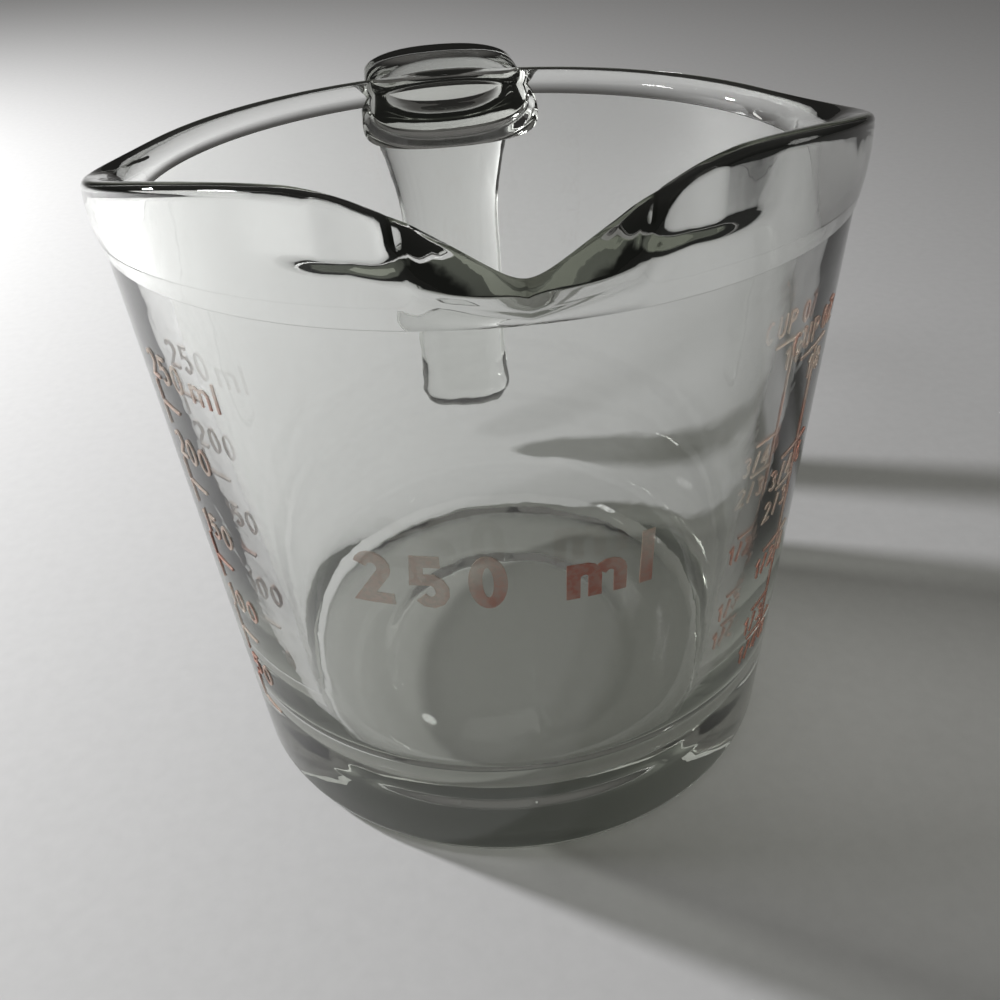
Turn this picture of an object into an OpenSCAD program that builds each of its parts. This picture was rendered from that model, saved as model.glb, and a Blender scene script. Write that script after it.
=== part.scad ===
// One-cup measuring cup of pressed clear glass, with fired enamel scales.
// The cup stands on the XY plane with its axis on Z. The spout points to -Y and the handle to +Y.
// Angles round the wall are counted from the spout, positive towards +X.

/* [Bowl] */
// Height of the rim at the handle
rim_h = 82.8; // [80:0.1:92]
// Height of the lip above the parting line, at the handle
lip_h = 3.7; // [3:0.1:6]
// Outside diameter of the wall at the parting line
collar_d = 88.8; // [86:0.2:96]
// Outside diameter that the tapered wall would have at the table
foot_d = 78.8; // [74:0.2:82]
// Thickness of the wall at the parting line and in the lip
wall_t = 3.8; // [3:0.1:5]
// How much thicker the wall grows from the parting line down to the table
wall_grow = 3.2; // [0:0.1:4]
// Thickness of the floor
floor_t = 7.3; // [5:0.1:10]
// Radius of the heel, between the wall and the table
heel_r = 2.7; // [1:0.1:4]
// Radius inside, between the wall and the floor
corner_r = 10.5; // [4:0.5:14]
// Diameter of the shallow recess under the foot
recess_d = 45; // [20:0.5:56]
// Depth of that recess
recess_deep = 0.9; // [0.3:0.1:1.5]
// Width of the sloping edge of that recess
recess_edge = 2.3; // [0.5:0.1:3]

/* [Lip and spout] */
// How far the lip stands out past the wall, at the parting line
ledge_w = 0.25; // [0.2:0.05:0.8]
// How far the belly of the lip stands out past its ledge
belly_w = 0.3; // [0:0.05:0.6]
// Height of the two shoulders above the rim at the handle
shoulder_rise = 8.7; // [5:0.1:10]
// Angle from the spout at which a shoulder reaches its full height
shoulder_peak = 24; // [22:1:40]
// Angle from the spout at which a shoulder has died away
shoulder_end = 112; // [90:1:130]
// Radius of the rounding over the outer edge of the lip
lip_edge = 0.8; // [0.5:0.1:1.4]
// Height of the rounding over the inner edge of the lip
lip_round = 1.7; // [1:0.1:2.6]
// How far the lowest point of the spout lies below the rim at the handle
spout_drop = 0.4; // [0.2:0.1:1.2]
// Slope of the sides of the spout, from level
spout_flank = 45; // [36:1:55]
// Roundness of the bottom of the spout
spout_round = 2.6; // [1:0.1:4]
// Length over which the sides of the spout turn into the shoulders
spout_blend = 9.3; // [4:0.1:10]
// Height of the outer edge of the spout above the parting line, at its middle
pour_edge = 1; // [0.9:0.05:1.3]
// Slope of that edge towards the shoulders, from level
pour_slope = 13; // [5:1:20]
// Share of the lip's width that falls towards the outside, in the spout
pour_share = 0.8; // [0.5:0.05:0.9]
// Depth of the scoop inside the spout, which leads to its notch
scoop_w = 1.9; // [0.5:0.1:2.2]
// Angle from the spout at which the scoop has died away
scoop_end = 36; // [28:1:48]
// Height of the scoop's upper end above the rim at the handle, beside the notch
scoop_rise = 2.5; // [1.5:0.1:3.4]

/* [Handle] */
// Width of the handle where it hangs
grip_w = 19.5; // [16:0.5:24]
// Thickness of the handle
handle_t = 7.8; // [6:0.1:10]
// Distance from the parting line to the back of the handle
handle_reach = 30; // [26:0.5:36]
// Outer radius of the bend at the top of the handle
bend_r = 10.5; // [8:0.5:14]
// How far the hanging part leans back towards the wall
handle_lean = 4; // [0:0.5:6]
// Height of the free lower end above the table
handle_low = 9; // [6:0.5:24]
// Length of the rounding of the free lower end
handle_tip = 5; // [3:0.5:8]
// Width of the handle from the wall to its bend
root_w = 26; // [22:0.5:30]
// Length over which the handle narrows, below its bend
narrow_len = 21; // [12:1:30]
// Height of the root
root_t = 10.5; // [9:0.5:14]
// Length over which the root thins out to the handle
root_len = 14.5; // [8:0.5:16]
// How far the top of the handle lies above the rim
handle_lift = 0.5; // [0:0.1:1.5]

/* [Print] */
// Thickness of the enamel
print_t = 0.12; // [0.08:0.02:0.3]
// Width of the printed lines
line_w = 0.34; // [0.2:0.02:0.8]
// Height of the numerals on the scales
numeral_h = 3.5; // [2.6:0.1:4]
// Width of the pen stroke of those numerals
numeral_pen = 0.4; // [0.26:0.02:0.7]
// Angle of the upright line of the millilitre scale
ml_angle = -63; // [-75:1:-50]
// Angle of the upright line of the cup and ounce scale
cup_angle = 51; // [45:1:70]
// Length of a tick
tick_len = 4.6; // [3:0.1:7]
// Height of the numerals beside the ticks, as a share of the others
small_numeral = 0.8; // [0.6:0.05:1]
// Length of an ounce tick, as a share of a cup tick
ounce_tick = 0.7; // [0.4:0.05:1]
// Angle of the middle of the front mark
front_angle = -5; // [-12:1:8]
// Height of the middle of the front mark
front_z = 49.5; // [42:0.5:55]
// Height of the numerals of the front mark
front_h = 7.2; // [5:0.1:9]
// Width of the pen stroke of the front mark
front_pen = 1.5; // [0.8:0.05:2]

/* [Hidden] */
$fn = 144;

// Wall: straight outside and inside. It grows thicker from the parting line down, so that the
// plunger of the press can leave, and keeps its thickness in the lip
collar_z = rim_h - lip_h;
taper = atan((collar_d - foot_d) / 2 / collar_z);
in_taper = atan(tan(taper) + wall_grow / collar_z);
function out_r(z) = foot_d / 2 + z * tan(taper);
function in_r(z) = out_r(z) - wall_t / cos(taper) - wall_grow * max(0, 1 - z / collar_z);

// Lip
crest_r = (out_r(collar_z) + ledge_w + in_r(collar_z)) / 2;
spout_z = rim_h - spout_drop;
spout_slope = tan(spout_flank);
spout_span = 24;
spout_start = 1.55;
spout_fade = 2.1;
spout_step = 1.5;
rim_step = 4;
lip_steps = 4;
least_side = 0.1;
least_fall = 0.2;
pour_power = 1.5;
scoop_full = 12;
scoop_under = 0.8;
scoop_slope = 0.36;

// Handle
handle_back = out_r(collar_z) + handle_reach;
handle_top = rim_h + handle_lift;
ring_points = 24;
squareness = 3;
root_squareness = 2.3;
along_steps = 10;
hang_steps = 10;
tip_steps = 6;
tip_flat = 0.92;
tip_square = 0.9;

// Volumes printed on the scales, in cubic millimetres
cubic_ml = 1000;
cubic_cup = 236588;
ml_big = [250, 200, 150, 100, 50];
ml_small = [225, 175, 125, 75, 25];
cup_marks = [[1, "1"], [3 / 4, "3/4"], [2 / 3, "2/3"], [1 / 2, "1/2"], [1 / 3, "1/3"], [1 / 4, "1/4"]];
ounce_marks = [[8, "8"], [6, "6"], [4, "4"], [2, "2"]];
ounces_per_cup = 8;
print_margin = 1;
glyph_gap = 0.28;
sharpest = 0.45;
line_gap = 0.6;
side_gap = 0.8;
numeral_drop = 0.7;
unit_gap = 1.6;
line_foot = 3;
small_h = numeral_h * small_numeral;
small_pen = numeral_pen * 0.9;

// Points of an arc
function arc(c, r, from, to, steps) =
    [for (i = [0:steps]) c + r * [cos(from + (to - from) * i / steps), sin(from + (to - from) * i / steps)]];

// Points of an arc of an ellipse
function oval(c, rx, ry, from, to, steps) =
    [for (i = [0:steps]) let (a = from + (to - from) * i / steps) c + [rx * cos(a), ry * sin(a)]];

// The same, flatter in its middle where the power is larger than one
function bulge(c, rx, ry, power, steps) =
    [for (i = [0:steps]) let (a = 90 * i / steps) c + [rx * pow(cos(a), power), ry * pow(sin(a), power)]];

// Two heights joined with a soft corner
function soft_min(a, b, k) = let (h = max(k - abs(a - b), 0) / k) min(a, b) - h * h * k / 4;

// Angle from the spout, either way round
function off_spout(a) = abs(a > 180 ? a - 360 : a);

// Height of the rim with no spout in it
function shoulder_z(a) =
    let (past = max(0, off_spout(a) - shoulder_peak) / (shoulder_end - shoulder_peak))
    rim_h + (past < 1 ? shoulder_rise * pow(cos(90 * past), 2) : 0);

// Height of the sides of the spout
function flank_z(a) =
    let (run = crest_r * PI / 180 * off_spout(a))
    spout_z + spout_slope * (sqrt(run * run + spout_round * spout_round) - spout_round);

// Height of the crest of the lip
function crest_z(a) = soft_min(shoulder_z(a), flank_z(a), spout_blend);

// A share between nought and one, with soft ends
function eased(share) = let (x = min(1, max(0, share))) x * x * (3 - 2 * x);
function mix(from, to, share) = from + (to - from) * share;

// How much a place belongs to the spout: one in its notch, nought on the shoulders
function in_spout(a) = eased((shoulder_z(a) - crest_z(a) - spout_start) / spout_fade);

// Height of the outer edge of the spout
function pour_edge_z(a) = collar_z + pour_edge + tan(pour_slope) * crest_r * PI / 180 * off_spout(a);

// Outline of the lip at an angle, from the ledge over the crest to the scoop and down the inside
function lip_outline(a) =
    let (top = crest_z(a), s = in_spout(a),
         fall = mix(lip_edge, max(least_fall, top - pour_edge_z(a)), s),
         drop = lip_round * (1 - s / 2),
         outer = out_r(collar_z) + ledge_w,
         side = outer + (top - fall - collar_z) * tan(taper),
         scoop_high = mix(collar_z, top - drop, 0.9),
         scoop_top = mix(min(scoop_high, rim_h + scoop_rise), scoop_high, eased(2 * s)),
         scoop_low = min(max(pour_edge_z(a) - scoop_under, collar_z + least_side),
                         mix(collar_z, scoop_top, 0.6)),
         scoop = min(scoop_w * eased((scoop_end - off_spout(a)) / (scoop_end - scoop_full)),
                     (scoop_top - scoop_low) * scoop_slope),
         inner = in_r(top - drop) + scoop,
         ridge = side - mix(lip_edge, (side - inner) * pour_share, s))
    concat([[outer, collar_z], [(outer + side) / 2 + belly_w, (top - fall + collar_z) / 2]],
           bulge([ridge, top - fall], side - ridge, fall, mix(1, pour_power, s), lip_steps),
           [for (p = oval([ridge, top - drop], ridge - inner, drop, 90, 180, lip_steps)) if (p[1] < top) p],
           [[in_r(scoop_top) + scoop, scoop_top], [in_r(scoop_low), scoop_low], [in_r(collar_z), collar_z]]);

// Angles of the outlines: close together in the spout, wider apart elsewhere
rim_angles = concat([for (a = [-spout_span:spout_step:spout_span - 1]) a],
                    [for (a = [spout_span:rim_step:359 - spout_span]) a]);

function on_circle(p, a) = [p[0] * sin(a), -p[0] * cos(a), p[1]];

// Faces of a ring of outlines, each outline closed on itself
function ring_faces(rings, n) =
    [for (i = [0:rings - 1]) for (j = [0:n - 1])
        let (a = i * n + j, b = i * n + (j + 1) % n,
             c = ((i + 1) % rings) * n + (j + 1) % n, d = ((i + 1) % rings) * n + j)
        each [[a, b, c], [a, c, d]]];

module rim() {
    outlines = [for (a = rim_angles) lip_outline(a)];
    n = len(outlines[0]);
    rings = len(rim_angles);
    color([0.80, 0.86, 0.83, 0.5])
        polyhedron(
            points = [for (i = [0:rings - 1]) for (p = outlines[i]) on_circle(p, rim_angles[i])],
            faces = ring_faces(rings, n));
}

module bowl() {
    heel_c = [out_r(heel_r) - heel_r / cos(taper), heel_r];
    corner_c = [in_r(floor_t + corner_r) - corner_r / cos(in_taper), floor_t + corner_r];
    color([0.80, 0.86, 0.83, 0.5])
        rotate_extrude()
            polygon(concat(
                [[0, recess_deep], [recess_d / 2 - recess_edge, recess_deep], [recess_d / 2, 0]],
                arc(heel_c, heel_r, -90, -taper, 8),
                [[out_r(collar_z), collar_z], [in_r(collar_z), collar_z]],
                arc(corner_c, corner_r, -in_taper, -90, 12),
                [[0, floor_t]]));
}

// Handle: the path runs along the top and back of the handle, then down to the free end
root_y = crest_r - 1;
straight_y = handle_back - bend_r;
turn = 90 + handle_lean;
bend_c = [straight_y, handle_top - bend_r];
bend_out = bend_c + bend_r * [cos(90 - turn), sin(90 - turn)];
hang_len = (bend_out[1] - handle_low) / cos(handle_lean);
hang = [-sin(handle_lean), -cos(handle_lean)];

// Each station of the path: place, direction of the outward normal, and how far along the tip it is
function stations() = concat(
    [for (i = [0:along_steps - 1]) let (y = root_y + (straight_y - root_y) * i / along_steps)
        [[y, handle_top], 90, 0]],
    [for (i = [0:along_steps]) let (a = 90 - turn * i / along_steps)
        [bend_c + bend_r * [cos(a), sin(a)], a, 0]],
    [for (i = [1:hang_steps]) [bend_out + (hang_len - handle_tip) * i / hang_steps * hang, 90 - turn, 0]],
    [for (i = [1:tip_steps]) let (t = sin(90 * i / tip_steps))
        [bend_out + (hang_len - handle_tip + handle_tip * t) * hang, 90 - turn, t]]);

// How much of the root's extra size is left at a distance from the wall
function root_share(y) = pow(max(0, 1 - max(0, y - out_r(collar_z)) / root_len), 2);

// How round the tip is at a share of its length: one where it starts, and a little is left at its end
function tip_left(t) = sqrt(1 - tip_flat * t * t);

// How wide a place of the handle still is: one above the lower end of the bend, nought on the grip
function wide_share(z) = eased(1 - max(0, bend_out[1] - z) / narrow_len);

// Outline of the handle at a station: a rounded rectangle, its top or back side on the path
function section(st) =
    let (wide = wide_share(st[0][1]),
         power = 2 / mix(squareness, root_squareness, wide),
         shrink = tip_left(st[2]),
         a = mix(grip_w, root_w, wide) / 2 - handle_tip * tip_square * (1 - shrink),
         b = mix(handle_t, root_t, st[1] == 90 ? root_share(st[0][0]) : 0) / 2,
         normal = [cos(st[1]), sin(st[1])],
         centre = st[0] - b * normal)
    [for (k = [0:ring_points - 1])
        let (t = 360 * k / ring_points, u = cos(t), v = sin(t),
             x = a * sign(u) * pow(abs(u), power),
             w = b * shrink * sign(v) * pow(abs(v), power),
             p = centre + w * normal)
        [x, p[0], p[1]]];

// The handle ends on the wall and on the outside of the lip, up to the crest
module handle() {
    rings = [for (st = stations()) section(st)];
    lip_face = [for (i = [0:lip_steps + 2]) lip_outline(180)[i]];
    count = len(rings);
    m = ring_points;
    color([0.80, 0.86, 0.83, 0.5])
        difference() {
            polyhedron(
                points = [for (r = rings) for (p = r) p],
                faces = concat(
                    [[for (k = [0:m - 1]) k]],
                    [for (i = [0:count - 2]) for (k = [0:m - 1])
                        let (p = i * m + k, q = i * m + (k + 1) % m)
                        each [[p, p + m, q + m], [p, q + m, q]]],
                    [[for (k = [m - 1:-1:0]) (count - 1) * m + k]]));
            rotate_extrude()
                polygon(concat([[0, 0], [out_r(0), 0], [out_r(collar_z), collar_z]], lip_face,
                               [[lip_face[len(lip_face) - 1][0], rim_h + 2], [0, rim_h + 2]]));
        }
}

// Height at which a volume stands in the cup
corner_turn = (90 - in_taper) / 2;
missing = (tan(corner_turn) - corner_turn * PI / 180) * corner_r * corner_r
    * 2 * PI * (in_r(floor_t) - corner_r / 5);
function fill_z(volume) =
    let (r = in_r(floor_t), k = tan(in_taper))
    floor_t + (pow(3 * k * (volume + missing) / PI + r * r * r, 1 / 3) - r) / k;
function fits(volume) = fill_z(volume) + numeral_h < collar_z - print_margin;

// Directions and outline of a pen stroke of one width along a path
function unit(v) = v / norm(v);
function heading(p, i) =
    i == 0 ? unit(p[1] - p[0]) :
    i == len(p) - 1 ? unit(p[i] - p[i - 1]) : unit(unit(p[i] - p[i - 1]) + unit(p[i + 1] - p[i]));
function side_step(p, i, pen) =
    let (h = heading(p, i), along = i == len(p) - 1 ? h : unit(p[i + 1] - p[i]))
    [-h[1], h[0]] * pen / 2 / max(sharpest, h * along);
function stroke(p, pen) =
    concat([for (i = [0:len(p) - 1]) p[i] + side_step(p, i, pen)],
           [for (i = [len(p) - 1:-1:0]) p[i] - side_step(p, i, pen)]);

// Width of each glyph, as a share of its height
function glyph_w(c) =
    c == "1" ? 0.34 : c == "/" ? 0.42 : c == "m" ? 0.94 : c == "l" ? 0.1 : c == " " ? 0.3 : 0.58;

// Pen paths of each glyph, one unit high, with the pen's middle inside the unit box
function glyph_paths(c, e) =
    let (w = glyph_w(c), l = e, r = w - e, t = 1 - e, m = w / 2)
    c == "1" ? [[[l, 0.76], [r, t], [r, 0]]] :
    c == "2" ? [concat(oval([m, 0.7], m - e, t - 0.7, 165, -28, 9), [[l, e], [w, e]])] :
    c == "3" ? [oval([m, 0.74], m - e, t - 0.74, 150, -80, 9),
                oval([m, 0.29], m - e, 0.29 - e, 80, -150, 9)] :
    c == "4" ? [[[0.7 * w, 0], [0.7 * w, 1]], [[0.7 * w, t], [l, 0.3], [w, 0.3]]] :
    c == "5" ? [concat([[r, t], [0.22 * w, t], [0.16 * w, 0.54]],
                       oval([m, 0.33], m - e, 0.33 - e, 105, -145, 8))] :
    c == "6" ? [oval([0.9 * w, 0.3], 0.89 * w - e, 0.7 - e, 95, 180, 6)] :
    c == "/" ? [[[l, 0], [r, 1]]] :
    c == "l" ? [[[m, 0], [m, 1]]] :
    c == "m" ? [[[l, 0], [l, 0.66]],
                concat(oval([0.27, 0.4], 0.27 - e, 0.26 - e, 160, 0, 6), [[0.54 - e, 0]]),
                concat(oval([0.67, 0.4], 0.27 - e, 0.26 - e, 160, 0, 6), [[r, 0]])] :
    c == "C" ? [oval([m, 0.5], m - e, 0.5 - e, 45, 315, 12)] :
    c == "U" ? [concat([[l, 1]], oval([m, 0.3], m - e, 0.3 - e, 180, 360, 8), [[r, 1]])] :
    c == "P" ? [[[l, 0], [l, 1]],
                concat([[l, t]], oval([0.4 * w, 0.72], 0.6 * w - e, 0.28 - e, 88, -88, 8), [[l, 0.44 + e]])] :
    c == "Z" ? [[[l, t], [r, t], [l, e], [w, e]]] : [];

// Closed loops of each glyph: middle, half width and half height
function glyph_loops(c, e) =
    let (m = glyph_w(c) / 2)
    c == "0" || c == "O" ? [[[m, 0.5], m, 0.5]] :
    c == "6" ? [[[m, 0.3], m, 0.3]] :
    c == "8" ? [[[m, 0.75 - e / 4], m * 0.9, 0.25 + e / 4], [[m, 0.27 + e / 4], m, 0.27 + e / 4]] : [];

module glyph(c, h, pen) {
    e = pen / h / 2;
    scale(h) {
        for (p = glyph_paths(c, e))
            polygon(stroke(p, 2 * e));
        for (q = glyph_loops(c, e))
            difference() {
                polygon(oval(q[0], q[1], q[2], 0, 345, 23));
                polygon(oval(q[0], q[1] - 2 * e, q[2] - 2 * e, 0, 345, 23));
            }
    }
}

// A flat shape, pushed out through the wall at an angle and a height
module through_wall(a, z)
    rotate([0, 0, a])
        translate([0, 4 - out_r(z), z])
            rotate([90, 0, 0])
                linear_extrude(8)
                    children();

// The thin skin on the outside of the wall that the enamel fills
module skin()
    rotate_extrude()
        polygon([[out_r(heel_r), heel_r], [out_r(heel_r) + print_t, heel_r],
                 [out_r(collar_z) + print_t, collar_z - print_margin / 2],
                 [out_r(collar_z - print_margin / 2), collar_z - print_margin / 2]]);

module enamel()
    color([0.52, 0.30, 0.25])
        intersection() {
            union()
                children();
            skin();
        }

function degrees_of(length, z) = length / out_r(z) * 180 / PI;

// Length of the first n glyphs of a word, with the gaps behind them
function run_len(word, n, h) = n == 0 ? 0 : run_len(word, n - 1, h) + (glyph_w(word[n - 1]) + glyph_gap) * h;
function word_len(word, h) = run_len(word, len(word), h) - glyph_gap * h;

// A word that starts at an angle, with the middle of its height at z
module word(letters, a, z, h, pen)
    for (i = [0:len(letters) - 1])
        if (letters[i] != " ")
            through_wall(a + degrees_of(run_len(letters, i, h) + glyph_w(letters[i]) * h / 2, z), z - h / 2)
                translate([-glyph_w(letters[i]) * h / 2, 0])
                    glyph(letters[i], h, pen);

// A level line from a length left of an angle to a length right of it
module tick(a, z, left, right)
    through_wall(a + degrees_of((right - left) / 2, z), z)
        square([left + right, line_w], center = true);

module upright(a, low, high)
    through_wall(a, (low + high) / 2)
        square([line_w, high - low], center = true);

ml_shown = [for (v = ml_big) if (fits(v * cubic_ml)) v];
ml_between = [for (v = ml_small) if (fits(v * cubic_ml)) v];
cups_shown = [for (c = cup_marks) if (fits(c[0] * cubic_cup)) c];
ounces_shown = [for (o = ounce_marks) if (fits(o[0] * cubic_cup / ounces_per_cup)) o];
clear_of_numeral = numeral_h / 2 + line_gap;

// Millilitre scale: the upright line is broken at each numeral, and ticks mark the volumes between
module ml_lines() {
    heights = [for (v = ml_shown) fill_z(v * cubic_ml)];
    low = fill_z(ml_between[len(ml_between) - 1] * cubic_ml);
    enamel() {
        for (i = [0:len(heights) - 1])
            upright(ml_angle, i < len(heights) - 1 ? heights[i + 1] + clear_of_numeral : low,
                    heights[i] - clear_of_numeral);
        for (v = ml_between)
            tick(ml_angle, fill_z(v * cubic_ml), 0, tick_len);
    }
}

module ml_numerals() {
    enamel() {
        for (v = ml_shown)
            word(str(v), ml_angle, fill_z(v * cubic_ml), numeral_h, numeral_pen);
        let (z = fill_z(ml_shown[0] * cubic_ml), first = word_len(str(ml_shown[0]), numeral_h))
            word("ml", ml_angle + degrees_of(first + unit_gap, z), z, numeral_h, numeral_pen);
    }
}

// Cup and ounce scale: one upright line with ticks to the left for cups and to the right for ounces
module cup_lines() {
    top = fill_z(cups_shown[0][0] * cubic_cup);
    low = fill_z(cups_shown[len(cups_shown) - 1][0] * cubic_cup);
    shared = [for (o = ounces_shown) o[0] / ounces_per_cup];
    enamel() {
        upright(cup_angle, low - line_foot, top);
        for (c = cups_shown)
            tick(cup_angle, fill_z(c[0] * cubic_cup), tick_len,
                 len(search(c[0], shared)) > 0 ? tick_len * ounce_tick : line_w / 4);
    }
}

module cup_fractions() {
    enamel() {
        for (c = cups_shown)
            let (z = fill_z(c[0] * cubic_cup) - numeral_h / 2 - numeral_drop)
                word(c[1], cup_angle - degrees_of(word_len(c[1], small_h) + side_gap, z), z,
                     small_h, small_pen);
        let (z = fill_z(cups_shown[0][0] * cubic_cup) + numeral_h / 2 + side_gap)
            word("CUP", cup_angle - degrees_of(word_len("CUP", small_h) + side_gap, z), z,
                 small_h, small_pen);
    }
}

module ounce_numerals() {
    enamel() {
        for (o = ounces_shown)
            let (z = fill_z(o[0] * cubic_cup / ounces_per_cup) - numeral_h / 2 - numeral_drop)
                word(o[1], cup_angle + degrees_of(side_gap, z), z, small_h, small_pen);
        let (z = fill_z(ounces_shown[0][0] * cubic_cup / ounces_per_cup) + numeral_h / 2 + side_gap)
            word("OZ", cup_angle + degrees_of(side_gap, z), z, small_h, small_pen);
    }
}

module front_mark() {
    enamel()
        word("250 ml", front_angle - degrees_of(word_len("250 ml", front_h) / 2, front_z), front_z,
             front_h, front_pen);
}

bowl();
rim();
handle();
ml_lines();
ml_numerals();
cup_lines();
cup_fractions();
ounce_numerals();
front_mark();
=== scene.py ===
# %% [markdown]
# # A measuring cup of pressed glass
#
# One gob of glass is pressed in a mould, so bowl, lip, spout and handle are one clear solid.
# Scales of fired enamel sit on its outside. The notebook loads the measured model, sets the
# camera, turns the wall from its section, joins the handle to it, gives glass and enamel their
# finish, and ends with a plain table and soft lamps.
#
# The measured model is loaded first and never moved: every new piece is placed from its boxes.

# %% Load the measured model
import math
import bpy
import bmesh
from mathutils import Matrix, Vector


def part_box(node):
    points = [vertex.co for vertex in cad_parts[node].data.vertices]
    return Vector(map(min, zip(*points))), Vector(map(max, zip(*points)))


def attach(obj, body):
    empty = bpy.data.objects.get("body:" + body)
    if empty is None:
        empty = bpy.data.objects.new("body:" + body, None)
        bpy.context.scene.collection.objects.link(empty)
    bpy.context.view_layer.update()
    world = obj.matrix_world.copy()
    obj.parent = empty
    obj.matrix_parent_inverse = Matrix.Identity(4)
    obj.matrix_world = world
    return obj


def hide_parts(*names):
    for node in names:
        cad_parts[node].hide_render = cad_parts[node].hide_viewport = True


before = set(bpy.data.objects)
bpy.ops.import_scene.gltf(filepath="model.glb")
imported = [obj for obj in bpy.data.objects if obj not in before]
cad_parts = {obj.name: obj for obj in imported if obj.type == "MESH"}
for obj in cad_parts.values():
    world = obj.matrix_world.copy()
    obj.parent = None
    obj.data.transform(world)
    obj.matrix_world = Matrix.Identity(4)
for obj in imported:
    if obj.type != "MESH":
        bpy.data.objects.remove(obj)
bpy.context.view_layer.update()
print("nodes:", list(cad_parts))

# %% [markdown]
# ## Sizes
#
# A mould maker thinks in millimetres, so all lengths below are written in millimetres and turned
# into metres where Blender needs them. Heights and radii that the measured model knows are read
# from it: the bowl ends at the parting line, and its box gives the radius there.
#
# The wall leans out and gets thicker downwards, so that the plunger of the press can leave. The
# foot is slightly hollow, and a small ledge marks the line where two parts of the mould meet.

# %% Sizes of the wall
MM = 0.001


def top_of(node):
    """Height of the top of a node, in millimetres."""
    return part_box(node)[1][2] / MM


collar_z = top_of("bowl")
collar_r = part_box("bowl")[1][0] / MM
foot_r = 39.4
wall_t = 3.8
wall_grow = 3.2
floor_t = 7.3
heel_r = 2.7
corner_r = 10.5
recess_r = 22.5
recess_deep = 0.9
recess_edge = 5
ledge_low = 0.3
ledge_high = 0.06
ledge_step = 0.12
# Radii of the points across the flat middle of the foot and of the floor
foot_points = (0, 5, 10, 15)
floor_points = (20, 15, 10, 5, 0)
lean = (collar_r - foot_r) / collar_z
lip_bore = foot_r - wall_t * math.hypot(1, lean)
skin_gap = 0.012


def out_r(z):
    """Outside radius of the wall at a height, a hair inside the enamel."""
    return foot_r + z * lean - skin_gap


def in_r(z):
    """Inside radius of the wall, which is thicker lower down, so that the plunger can leave."""
    return lip_bore + z * lean - wall_grow * (1 - z / collar_z)


print("parting line at", round(collar_z, 2), "mm, radius", round(collar_r, 2), "mm")

# %% Sizes of the lip and the spout
lip_rise = 3.7
rim_h = collar_z + lip_rise
shoulder_rise = top_of("rim") - rim_h
ledge_w = 0.25
belly_w = 0.3
shoulder_peak = math.radians(24)
shoulder_end = math.radians(112)
lip_edge = 0.8
lip_round = 1.7
spout_drop = 0.4
spout_slope = math.tan(math.radians(45))
spout_round = 2.6
spout_blend = 9.3
spout_start = 1.55
spout_fade = 2.1
pour_edge = 1
pour_slope = math.tan(math.radians(13))
pour_share = 0.8
pour_power = 1.5
scoop_w = 1.9
scoop_slope = 0.37
scoop_full = math.radians(12)
scoop_end = math.radians(36)
scoop_under = 0.8
scoop_rise = 2.5
crest_r = (collar_r + ledge_w + in_r(collar_z)) / 2
print("rim", round(rim_h, 2), "mm, shoulders", round(shoulder_rise, 2), "mm above it")

# %% [markdown]
# ## Camera
#
# A photograph of a round object tells where the camera stood: the rim, the parting line and the
# foot are circles, and their ellipses give height, distance and lens. The camera looked down at
# the cup from a short distance, a little left of the spout. It could be placed by eye, but a fit
# to the three circles is surer and gives the lens too. The three small angles say how the camera
# was held: rolled, swung sideways and tilted away from the point that it orbits.

# %% Place the camera
aim = Vector((0, 0, 41.36)) * MM
camera_far = 146.14 * MM
camera_up = math.radians(30.7)
camera_round = math.radians(-5)
camera_roll = math.radians(-3.76)
camera_pan = math.radians(0.08)
camera_tilt = math.radians(-3.35)
photo_width = 1000
focal_pixels = 1017
film_width = 36


def turned(vector, angle):
    """A vector turned about the cup's axis."""
    return Matrix.Rotation(angle, 3, "Z") @ vector


def camera_matrix():
    """Where the camera stands and which way it looks."""
    back = Vector((0, -math.cos(camera_up), math.sin(camera_up)))
    up = Vector((0, math.sin(camera_up), math.cos(camera_up)))
    right = Vector((1, 0, 0))
    place = aim + back * camera_far
    swung = right * math.cos(camera_pan) + back * math.sin(camera_pan)
    back = back * math.cos(camera_pan) - right * math.sin(camera_pan)
    tipped = up * math.cos(camera_tilt) + back * math.sin(camera_tilt)
    back = back * math.cos(camera_tilt) - up * math.sin(camera_tilt)
    right = swung * math.cos(camera_roll) + tipped * math.sin(camera_roll)
    up = tipped * math.cos(camera_roll) - swung * math.sin(camera_roll)
    sides = [turned(v, camera_round) for v in (right, up, back)]
    place = turned(place, camera_round)
    return Matrix([[side[i] for side in sides] + [place[i]] for i in range(3)] + [[0, 0, 0, 1]])


lens = bpy.data.cameras.new("camera")
lens.sensor_width = film_width
lens.lens = focal_pixels / photo_width * film_width
lens.clip_start = 1 * MM
camera = bpy.data.objects.new("camera", lens)
bpy.context.collection.objects.link(camera)
camera.matrix_world = camera_matrix()
bpy.context.scene.camera = camera
print("camera at", [round(c / MM, 1) for c in camera.location], "mm, lens", round(lens.lens, 1), "mm")

# %% [markdown]
# ## The section of the wall
#
# A pressed cup is a turned shape: one section, spun round the axis. A Screw modifier could spin
# it, but then the section is the same all round, and this lip is not. So the section is drawn
# once, from the middle of the foot over the lip and down to the middle of the floor, and each
# point of the lip also says where on the lip it lies: `outer` is 1 on the outside and 0 on the
# inside, `climb` runs up the straight side from 0 to 1, `spread` is 1 on a straight side and 0 on
# the crest, and `sink` is how far below the crest the point is, as a share of the rounding.

# %% Lines and arcs
def arc(centre, radius, start, end, steps):
    """Points of an arc, angles in radians."""
    turns = [start + (end - start) * i / steps for i in range(steps + 1)]
    return [(centre[0] + radius * math.cos(t), centre[1] + radius * math.sin(t)) for t in turns]


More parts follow.
